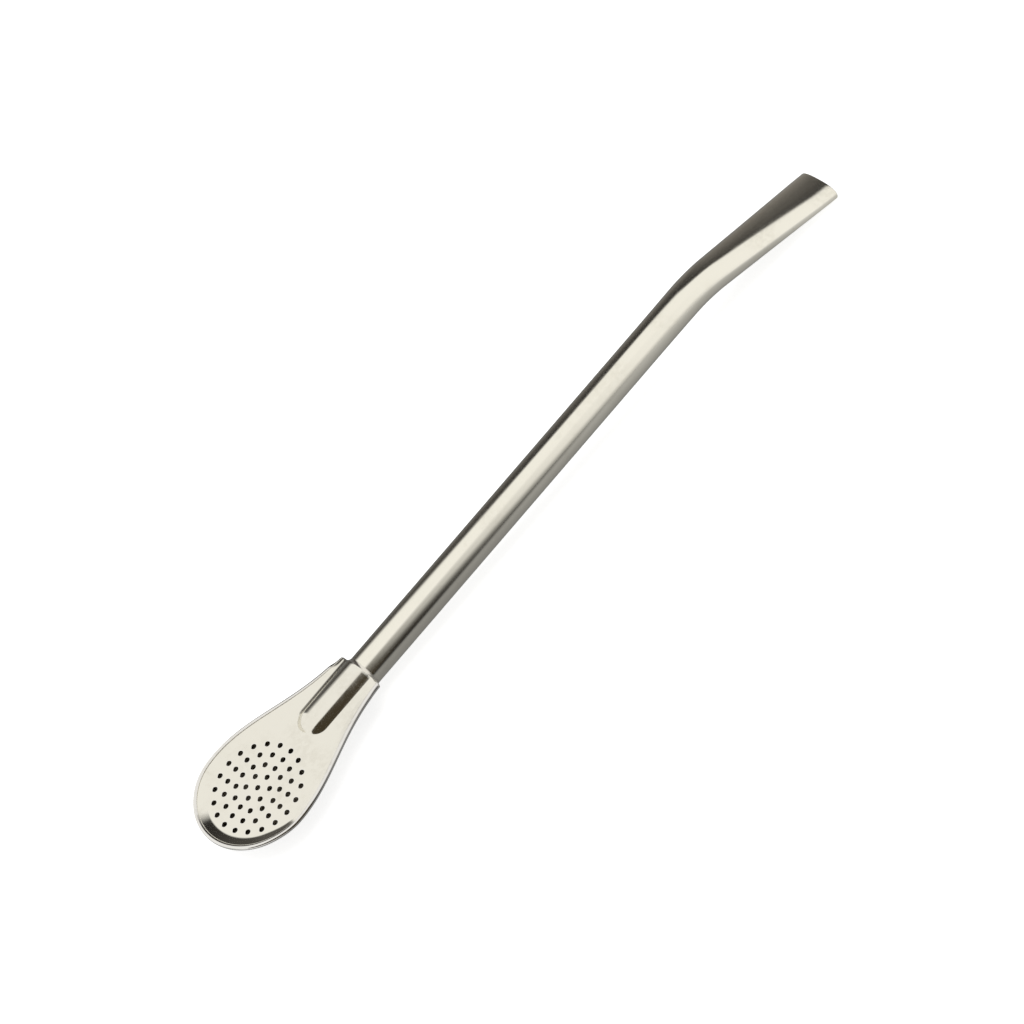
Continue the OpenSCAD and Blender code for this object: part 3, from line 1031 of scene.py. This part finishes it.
@dataclass(kw_only=True)
class BackShell(Piece):
    """The back stamping: a dish that draws in to a channel under the tube, its rim folded over the front."""

    outline: SpoonOutline
    front: FrontStrainer
    dressing: Dressing = Dressing("strainer_back", "back_shell", "back_steel", (BACK_FINISH, INSIDE_FINISH))
    flange_width: float = 1.0 * MM
    fold_bulge: float = 0.3
    wall_run: float = 8.6 * MM
    wall_round_top: float = 0.08
    wall_round_low: float = 0.35
    rise_lead: float = -6.0 * MM
    rise_run: float = 17.6 * MM
    corner_round: float = 0.35 * MM
    corner_angle: float = 0.12
    ledge_haste: float = 2.0
    least_reach: float = 1.0 * MM
    bead_wear: float = 0.6
    fold_columns: int = 5
    bead_columns: int = 16
    flange_columns: int = 4
    wall_columns: int = 34
    ledge_columns: int = 5
    belly_columns: int = 12

    @property
    def bead_radius(self) -> float:
        """Radius of the fold's sheet at mid-thickness: the front sheet's slot and half the back sheet."""
        return self.outline.sheet + self.outline.gap

    @property
    def bead_middle(self) -> float:
        """Inset of the middle of the bead."""
        return self.bead_radius + self.outline.sheet / 2.0

    def belly(self, x: Array) -> Array:
        """Height of the bowl's sheet where it is deepest, a plane that is level as the straw rests."""
        tilt = self.rest.tilt
        return -self.rest.belly_depth / math.cos(tilt) - x * math.tan(tilt) + self.outline.sheet / 2.0

    def fold_section(self) -> tuple[Array, Array]:
        """Middle of the folded edge: over the front sheet, round a half circle, and back under as a flange.

        Returns:
            The section's insets, and its heights over the middle of the front sheet's tucked edge.
        """
        end = self.front.fold_width - self.fold_bulge * self.outline.sheet / 2.0
        over = np.linspace(end, self.bead_middle, self.fold_columns, endpoint=False)
        turn = np.linspace(0.0, np.pi, self.bead_columns + 1)
        under = np.linspace(self.bead_middle, self.flange_width, self.flange_columns + 1)[1:]
        insets = np.concatenate([over, self.bead_middle - self.bead_radius * np.sin(turn), under])
        heights = np.concatenate([np.ones_like(over), np.cos(turn), -np.ones_like(under)])
        return insets, self.bead_radius * heights

    def middle(self) -> Array:
        """Middle of the whole sheet as one grid, rim station by place across.

        Returns:
            The points. Past the fold a station's line runs down the wall's rounded ramp and over the flat
            belly to the centre line. Beside the tube each point then moves along the ray from the tube's
            axis until it is a sheet's middle away from the tube, so the dish draws in to a half-round
            channel.
        """
        rim, inwards = self.outline.path()
        insets, heights = self.fold_section()
        half_width = np.where(rim[:, 0] < 0.0, self.outline.bowl_radius, self.outline.half_width(rim[:, 0]))
        narrow = (half_width - self.flange_width) / (self.outline.bowl_radius - self.flange_width)
        slant = np.linalg.norm(inwards, axis=1)
        wall_end = (self.flange_width + self.wall_run * narrow / slant)[:, None]
        wall = np.linspace(0.0, 1.0, self.wall_columns + 1)[1:]
        belly = np.linspace(0.0, 1.0, self.belly_columns + 1)[1:]
        centre = (half_width / slant)[:, None]
        fold = np.broadcast_to(insets, (len(rim), len(insets)))
        down = self.flange_width + (wall_end - self.flange_width) * wall
        flat = wall_end + (centre - wall_end) * belly
        xy = rim[:, None] + inwards[:, None] * np.concatenate([fold, down, flat], axis=1)[..., None]
        x, y = xy[..., 0], xy[..., 1]
        flange = self.front.lip_height(x, np.array(self.flange_width)) - self.front.tuck - self.bead_radius
        share = np.concatenate([np.zeros_like(insets), wall, np.ones_like(belly)])
        depth = rounded_ramp(share, self.wall_round_top, self.wall_round_low)
        dish = flange + (self.belly(x) - flange) * depth
        held = self.front.lip_height(x[:, : len(insets)], fold) - self.front.tuck + heights
        z = np.concatenate([held, dish[:, len(insets) :]], axis=1)
        return self.outline.round_corners(self.draw_in(stack(x, y, z), len(insets)))

    def draw_in(self, points: Array, fold: int) -> Array:
        """Draws the dish in to the channel under the tube.

        Args:
            points: The grid of the undrawn sheet.
            fold: Number of columns that the folded edge has, which stay as they are.

        Returns:
            The grid with each wall and belly point moved towards the tube's axis. The share of the way grows
            as a smooth step along the neck, and the channel's lips flare out by the corner's round.
        """
        held, trough = points[:, :fold], points[:, fold:]
        reach = np.hypot(trough[..., 1], trough[..., 2])
        angle = np.arctan2(trough[..., 2], np.abs(trough[..., 1]))
        flare = rise(angle, (-self.corner_angle, self.corner_angle))
        target = self.front.socket_radius + self.corner_round * flare
        share = smooth_step((trough[..., 0] - self.line.start - self.rise_lead) / self.rise_run)
        scale = 1.0 + share * (target / np.maximum(reach, self.least_reach) - 1.0)
        drawn = trough * np.stack([np.ones_like(scale), scale, scale], axis=-1)
        ledge = self.ledge(held[:, -1:], drawn, smooth_step(self.ledge_haste * share[:, :1]))
        return np.concatenate([held, ledge, drawn[:, self.ledge_columns :]], axis=1)

    def ledge(self, flange: Array, drawn: Array, share: Array) -> Array:
        """Rounds the corner where the flange's ledge turns down into the channel.

        Args:
            flange: Inner end of the flange at each station.
            drawn: The grid of the drawn wall and belly.
            share: How far each station is drawn in, from 0 to 1.

        Returns:
            The wall's first columns. The corner lies on the wall's own line, as far up from the column
            after them as the first is from it. A point is the corner plus the cube of what is left of the
            way times the ledge, plus the cube of the way times the wall, and moves there by the station's
            share.
        """
        count = self.ledge_columns
        foot = drawn[:, count : count + 1]
        way = (np.arange(count) + 1.0)[:, None] / (count + 1.0)
        wall = unit(drawn[:, count + 1 : count + 2] - foot)
        corner = foot - wall * np.linalg.norm(foot - drawn[:, :1], axis=-1, keepdims=True)
        rounded = corner + (1.0 - way) ** 3 * (flange - corner) + way**3 * (foot - corner)
        return drawn[:, :count] + share[..., None] * (rounded - drawn[:, :count])

    def normals(self, middle: Array) -> Array:
        """Unit normals of the sheet: the cross product of the grid's ways, level at the bowl's middle."""
        mirror = middle[:, -2:-1] * np.array([1.0, -1.0, 1.0])
        through = 2.0 * middle[:, -1:] - middle[:, -2:-1]
        past = np.where(middle[:, -1:, :1] > 0.0, mirror, through)
        wide = np.concatenate([middle, past], axis=1)
        normal = np.cross(np.gradient(middle, axis=0), np.gradient(wide, axis=1)[:, :-1])
        size = np.linalg.norm(normal, axis=-1, keepdims=True)
        tilt = self.rest.tilt
        level = np.array([math.sin(tilt), 0.0, math.cos(tilt)])
        return np.where(size > NO_AREA, unit(normal), level)

    def skin(self) -> Skin:
        """Gives the sheet its thickness and closes the fold's edge and the neck's end."""
        skin = Skin()
        middle = self.middle()
        normal = self.normals(middle)
        upwards = np.sign(np.median(normal[:, -self.belly_columns : -1, 2]))
        lift = normal * upwards * self.outline.sheet / 2.0
        worn = np.zeros(middle.shape[1])
        # All of the bead but its two ends is rubbed bright.
        worn[self.fold_columns + 2 : self.fold_columns + self.bead_columns - 1] = self.bead_wear
        inner = skin.place(middle + lift)
        outer = skin.place(middle - lift, edge=worn)
        skin.weave(outer)
        skin.weave(inner, Side.INSIDE)
        edge = skin.close_edge(outer[:, 0], inner[:, 0], self.fold_bulge * self.outline.inwards())
        ahead = np.broadcast_to([1.0, 0.0, 0.0], (middle.shape[1], 3))
        for row in (0, -1):
            end = skin.close_edge(inner[row], outer[row], ahead)
            skin.close_corner(edge[row], end[0, ::-1])
        return skin


@dataclass(kw_only=True)
class NeckBraze(Piece):
    """The ring of braze that seals the tube into the neck. A swell is a size, a count and a phase."""

    outline: SpoonOutline
    dressing: Dressing = Dressing("braze", "neck_braze", "braze", (BRAZE_FINISH,))
    leg: float = 0.9 * MM
    sink: float = 0.02 * MM
    unevenness: float = 0.1
    swells: tuple[Numbers, ...] = ((0.6, 2.0, 0.7), (0.4, 5.0, 2.1))
    around: int = 128
    steps: int = 12

    def skin(self) -> Skin:
        """Turns a hollow fillet about the tube: from the socket's edge down to the tube, square to the neck.

        Returns:
            The fillet. Its height is that of the sheet and the gap, times one less the share along the leg,
            squared. The leg grows and shrinks a little round the tube as flowed metal does.
        """
        turn = np.linspace(0.0, 2.0 * np.pi, self.around, endpoint=False)[None]
        wander = sum(size * np.sin(count * turn + phase) for size, count, phase in self.swells)
        leg = self.leg * (1.0 - self.unevenness * (1.0 - wander) / 2.0)
        share = np.linspace(0.0, 1.0, self.steps + 1)[:, None]
        height = self.outline.sheet + self.outline.gap
        under = np.full((2, 1), self.line.radius - self.sink)
        radius = np.concatenate([self.line.radius + height * (1.0 - share) ** 2, under])
        along = np.concatenate([share, [[1.0], [0.0]]])
        x = self.outline.neck_end + self.outline.gap + along * leg
        skin = Skin()
        grid = skin.place(stack(x, radius * np.cos(turn), radius * np.sin(turn)))
        skin.weave(closed(closed(grid, 1), 0))
        return skin


def reflected_sheet(name: str, tint: Colour, points: Array, level: Array, cover: Array) -> None:
    """Makes a staged sheet of the studio that shows only in the metal, glowing at painted levels so that it
    paints reflections there.

    Args:
        name: Name of the sheet.
        tint: Its colour.
        points: A grid of points.
        level: How bright each point glows, the painted brightness that the metal reflects.
        cover: How much each point hides what is behind it, from 0 to 1.
    """
    faces = quads(np.arange(level.size).reshape(level.shape))
    mesh = bpy.data.meshes.new(name)
    mesh.from_pydata(points.reshape(-1, 3).tolist(), [], faces.tolist())
    material, w = start_material(name)
    for label, values in (("level", level), ("cover", cover)):
        mesh.attributes.new(label, "FLOAT", "POINT").data.foreach_set("value", values.ravel())
    # The sheet glows at its painted level, so the metal shows a painted reflection of darker and paler
    # places.
    shade = w.node("ShaderNodeEmission", color=(*tint, 1.0), strength=w.attribute("level")).outputs[0]
    clear = w.node("ShaderNodeBsdfTransparent").outputs[0]
    mixed = w.node("ShaderNodeMixShader")
    for socket, value in zip(mixed.inputs, (w.attribute("cover"), clear, shade), strict=True):
        w.feed(socket, value)
    w.node("ShaderNodeOutputMaterial", surface=mixed.outputs[0])
    material.cycles.emission_sampling = "NONE"
    mesh.materials.append(material)
    sheet = put(name, mesh)
    for ray in ("camera", "diffuse", "shadow", "volume_scatter"):
        setattr(sheet, f"visible_{ray}", False)
    sheet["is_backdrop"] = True


@dataclass(frozen=True)
class DarkRoom:
    """A glowing sheet that paints the dark room beyond the table into the metal as a dark reflection. It
    fades out along its upper edge, and its painted light is paler at its foot.
    """

    name: str = "dark_room"
    tint: Colour = (1.0, 0.94, 0.89)
    y: float = 150.0 * MM
    ground: Numbers = mm(14.0, 20.0, 45.0, 70.0, 90.0, 110.0, 150.0, 190.0, 215.0, 250.0, 600.0)
    top: Numbers = mm(0.0, 100.0, 150.0, 181.0, 220.0, 248.0, 303.0, 300.0, 320.0, 285.0, 260.0)
    level: float = 0.04
    level_loss: float = 0.025
    loss_span: Numbers = mm(60.0, 140.0)
    foot: float = 0.14
    foot_gain: float = 0.05
    foot_span: Numbers = mm(40.0, 160.0)
    foot_power: float = 3.0
    mouth_gain: float = 0.08
    mouth_span: Numbers = mm(150.0, 220.0)
    fade: float = 80.0 * MM
    rows: int = 40

    def foot_level(self, x: Array) -> Array:
        """How bright the painted foot is: a straight rise along the tube and a smooth step past the mouth.
        """
        along = np.interp(x, self.foot_span, (0.0, 1.0))
        return self.foot + self.foot_gain * along + self.mouth_gain * rise(x, self.mouth_span)

    def build(self) -> None:
        """Stands the room up: columns over the ground places, each rising evenly to the top line."""
        x, top = (np.array(places)[:, None] for places in (self.ground, self.top))
        share = np.linspace(0.0, 1.0, self.rows)
        dark = self.level - self.level_loss * rise(x, self.loss_span)
        level = dark + (self.foot_level(x) - dark) * (1.0 - share) ** self.foot_power
        cover = np.clip(top * (1.0 - share) / self.fade, 0.0, 1.0)
        reflected_sheet(self.name, self.tint, stack(x, np.array(self.y), top * share), level, cover)


# A nearer dark sheet by the mouth, which paints a dark reflection into the metal there.
DARK_CORNER = DarkRoom(
    name="dark_corner",
    y=75.0 * MM,
    ground=mm(178.0, 187.0, 197.0, 207.0, 229.0, 256.0, 278.0, 300.0, 385.0),
    top=mm(163.0, 189.0, 203.0, 218.0, 225.0, 215.0, 178.0, 173.0, 183.0),
    fade=40.0 * MM,
)


@dataclass(frozen=True)
class DarkGap:
    """A glowing sheet that paints the dark beside the camera into the metal as a dark reflection: tall by
    the spoon, dying away along the tube, and low by the table.
    """

    tint: Colour = (1.0, 0.8, 0.5)
    y: float = -120.0 * MM
    level: float = 0.012
    spoon_level: float = 0.06
    spoon_heights: Numbers = mm(245.0, 190.0)
    step_span: Numbers = mm(46.5, 49.5)
    tube_cover: float = 0.7
    tube_start: float = 43.0 * MM
    tube_run: float = 50.0 * MM
    tube_power: float = 1.3
    tube_heights: Numbers = mm(320.0, 130.0)
    low_cover: float = 0.97
    low_span: Numbers = mm(225.0, 50.0)
    low_rise: float = 15.0 * MM
    low_rise_span: Numbers = mm(120.0, 60.0)
    low_fade: Numbers = mm(105.0, 45.0)
    low_fade_span: Numbers = mm(70.0, 165.0)
    left: float = -500.0 * MM
    right: float = 300.0 * MM
    top: float = 330.0 * MM
    step_x: float = 2.0 * MM
    step_z: float = 5.0 * MM

    def cover(self, x: Array, z: Array) -> Array:
        """How much a place hides: a tall hump and a low band, which both die away along the tube."""
        past = np.maximum(x - self.tube_start, 0.0) / self.tube_run
        by_spoon = rise(z, self.spoon_heights)
        by_tube = self.tube_cover * np.exp(-(past**self.tube_power)) * rise(z, self.tube_heights)
        tall = by_spoon + (by_tube - by_spoon) * rise(x, self.step_span)
        foot = self.low_rise * rise(x, self.low_rise_span)
        fade = np.interp(x, self.low_fade_span, self.low_fade)
        low = self.low_cover * rise(x, self.low_span) * (1.0 - smooth_step((z - foot) / fade))
        return 1.0 - (1.0 - tall) * (1.0 - low)

    def build(self) -> None:
        """Stands the dark up on an even grid."""
        x = np.arange(self.left, self.right, self.step_x)[:, None]
        z = np.arange(0.0, self.top, self.step_z)
        cover = self.cover(x, z)
        level = self.spoon_level + (self.level - self.spoon_level) * rise(x, self.step_span)
        level = np.broadcast_to(level, cover.shape)
        reflected_sheet("dark_gap", self.tint, stack(x, np.array(self.y), z), level, cover)


@dataclass(frozen=True)
class TableShade:
    """The table as the metal shows it, as a glowing sheet: dim beside the straw with a painted shadow of the
    straw, and fading to the painted dark on both sides.
    """

    room: DarkRoom
    gap: DarkGap
    tint: Colour = (1.0, 1.0, 1.0)
    middle: float = 80.0 * MM
    half: float = 450.0 * MM
    # The level right beside the straw: a painted shadow of the straw on the table, seen only in the metal.
    near: float = 0.2
    reach: float = 14.0 * MM
    side_level: float = 0.32
    side_gain: float = 0.2
    side_span: Numbers = mm(45.0, 150.0)
    gap_span: Numbers = mm(-15.0, -70.0)
    room_start: float = 22.0 * MM
    room_span: Numbers = mm(5.0, 20.0)
    bright: float = 0.9
    tip_span: Numbers = mm(-14.0, -26.0)
    mouth_span: Numbers = mm(160.0, 195.0)
    mouth_side: Numbers = mm(5.0, -5.0)
    end_lift: float = 0.35
    end_span: Numbers = mm(0.0, 20.0)
    steps: int = 240
    lift: float = 0.05 * MM

    def level(self, x: Array, y: Array) -> Array:
        """How bright a place looks.

        Args:
            x: Places along the table.
            y: Places across it.

        Returns:
            An exponential rise away from the straw, the straw's painted shadow, to a level that grows along
            it, then smooth steps to the brightness of the gap's foot on the camera's side and to that of the
            room's foot beyond, all lifted by smooth steps before the spoon and, on the camera's side, past
            the mouth.
        """
        side = self.side_level + self.side_gain * rise(x, self.side_span)
        shade = self.near + (side - self.near) * (1.0 - np.exp(-np.abs(y) / self.reach))
        foot = 1.0 - (1.0 - self.gap.level) * self.gap.cover(x, np.zeros_like(x))
        shade = shade + (foot - shade) * rise(y, self.gap_span)
        beyond = np.where(x > self.room_start, self.room.foot_level(x), self.bright)
        shade = shade + (beyond - shade) * rise(y, self.room_span)
        ends = rise(x, self.tip_span) + rise(x, self.mouth_span) * rise(y, self.mouth_side)
        lift = self.end_lift + (1.0 - self.end_lift) * rise(np.abs(y), self.end_span)
        return shade + (self.bright - shade) * ends * lift

    def build(self) -> None:
        """Lays the painted shade just over the table, on a grid that crowds towards the straw."""
        v = np.linspace(-1.0, 1.0, self.steps + 1)
        x, y = self.half * v[:, None] + self.middle, self.half * v * np.abs(v)
        level = self.level(x, y)
        points = stack(x, y, np.array(self.lift))
        reflected_sheet("table_shade", self.tint, points, level, np.ones_like(level))


@dataclass(frozen=True)
class Studio:
    """The pale table, the soft light, the sheets that paint the dark room round them into the metal, and the
    camera.
    """

    rest: RestPose
    floor_half: float = 2.5
    floor_colour: Colour = (0.86, 0.86, 0.855)
    floor_roughness: float = 0.8
    floor_glow: Colour = (1.0, 1.0, 1.0)
    floor_lift: float = 0.72
    sky_colour: Colour = (1.0, 0.995, 0.985)
    sky_light: float = 0.42
    lamp_size: float = 0.7
    lamp_place: Numbers = (0.08, 0.12, 0.75)
    lamp_radiance: float = 1.5
    azimuth: float = math.radians(-13.561)
    elevation: float = math.radians(49.719)
    roll: float = math.radians(38.871)
    distance: float = 897.84 * MM
    pixels_per_mm: float = 4.56
    frame_pixels: float = 1024.0
    sensor: float = 36.0
    aim_x: float = 82.0 * MM
    aim_right: float = 0.389 * MM
    aim_up: float = -1.68 * MM
    nearest: float = 0.01
    farthest: float = 20.0

    def seen(self, w: Wiring) -> Socket:
        """Returns 1 for rays that show the background: the camera's, and those sent on by metal or glass."""
        path = w.node("ShaderNodeLightPath").outputs
        mirrored = w.math("MAXIMUM", path["Is Glossy Ray"], path["Is Transmission Ray"])
        return w.math("MAXIMUM", path["Is Camera Ray"], mirrored)

    def build_world(self) -> None:
        """Makes the white surround, which lights matte things more softly than it looks."""
        world = bpy.data.worlds.new("surround")
        bpy.context.scene.world = world
        world.use_nodes = True
        w = Wiring(world.node_tree)
        strength = w.math("MULTIPLY_ADD", self.seen(w), 1.0 - self.sky_light, self.sky_light)
        sky = w.node("ShaderNodeBackground", color=(*self.sky_colour, 1.0), strength=strength)
        w.node("ShaderNodeOutputWorld", surface=sky.outputs[0])
        world.cycles.sampling_method = "NONE"

    def build_floor(self) -> None:
        """Lays the table: a matte plane, lifted to white where it is seen so that its shadows stay."""
        h = self.floor_half
        mesh = bpy.data.meshes.new("floor")
        mesh.from_pydata([(-h, -h, 0.0), (h, -h, 0.0), (h, h, 0.0), (-h, h, 0.0)], [], [(0, 1, 2, 3)])
        material, w = start_material("pale_table")
        shader = w.node(
            "ShaderNodeBsdfPrincipled",
            base_color=(*self.floor_colour, 1.0),
            roughness=self.floor_roughness,
            emission_color=(*self.floor_glow, 1.0),
            emission_strength=w.math("MULTIPLY", self.seen(w), self.floor_lift),
        )
        w.node("ShaderNodeOutputMaterial", surface=shader.outputs[0])
        material.cycles.emission_sampling = "NONE"
        mesh.materials.append(material)
        floor = put("floor", mesh)
        floor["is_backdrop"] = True

    def build_lamp(self) -> None:
        """Hangs a square softbox over the table that lights it and leaves no hot spot in the metal."""
        lamp = bpy.data.lights.new("softbox", "AREA")
        lamp.shape = "SQUARE"
        lamp.size = self.lamp_size
        lamp.energy = self.lamp_radiance * math.pi * self.lamp_size**2
        box = put("softbox", lamp)
        box.location = self.lamp_place
        box.visible_glossy = False
        box.visible_camera = False

    def build_camera(self) -> None:
        """Sets the camera up from its azimuth, elevation, roll and distance in the straw's own axes.

        The way back to the camera follows from the azimuth and elevation, right is level, up is across both,
        and the roll turns right and up about the way back. The lens is the sensor times the distance times
        the pixels in a millimetre over the frame's pixels.
        """
        a, e = self.azimuth, self.elevation
        back = np.array([math.sin(a) * math.cos(e), -math.cos(a) * math.cos(e), math.sin(e)])
        right = np.array([math.cos(a), math.sin(a), 0.0])
        up = np.cross(back, right)
        aim = np.array([self.aim_x, 0.0, 0.0]) + self.aim_right * right + self.aim_up * up
        place = self.rest.to_row(aim + self.distance * back)
        c, s = math.cos(self.roll), math.sin(self.roll)
        axes = self.rest.turn(np.stack([c * right - s * up, s * right + c * up, back]))
        data = bpy.data.cameras.new("camera")
        data.sensor_width = self.sensor
        data.lens = self.sensor * self.pixels_per_mm * self.distance / MM / self.frame_pixels
        data.clip_start, data.clip_end = self.nearest, self.farthest
        camera = put("camera", data)
        camera.matrix_world = Matrix.Translation(Vector(place)) @ Matrix(axes.T.tolist()).to_4x4()
        bpy.context.scene.camera = camera

    def build(self) -> None:
        """Builds the whole set."""
        bpy.context.scene.view_settings.view_transform = "Standard"
        self.build_camera()
        self.build_world()
        self.build_floor()
        # Glowing sheets, seen only in the metal, paint its dark reflections and the straw's shadow on the
        # table.
        room, gap = DarkRoom(), DarkGap()
        for sheet in (DARK_CORNER, room, gap, TableShade(room, gap)):
            sheet.build()
        self.build_lamp()


def corners() -> list[list[float]]:
    """Returns the lowest and the highest corner of what shows, as plain numbers."""
    return [list(corner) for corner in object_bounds()]


def main() -> None:
    """Builds the studio and the straw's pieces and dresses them."""
    logging.basicConfig(level=logging.INFO, format="%(name)s: %(message)s")
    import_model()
    line = TubeLine()
    rest = RestPose(line)
    outline = SpoonOutline()
    Studio(rest).build()
    groups = EffectGroups().build()
    made = {finish.name: finish.build(groups) for finish in FINISHES}
    front = FrontStrainer(line=line, rest=rest, outline=outline)
    back = BackShell(line=line, rest=rest, outline=outline, front=front)
    braze = NeckBraze(line=line, rest=rest, outline=outline)
    for piece in (StemTube(line=line, rest=rest), front, back, braze):
        piece.dress(made)


if __name__ == "__main__":
    main()
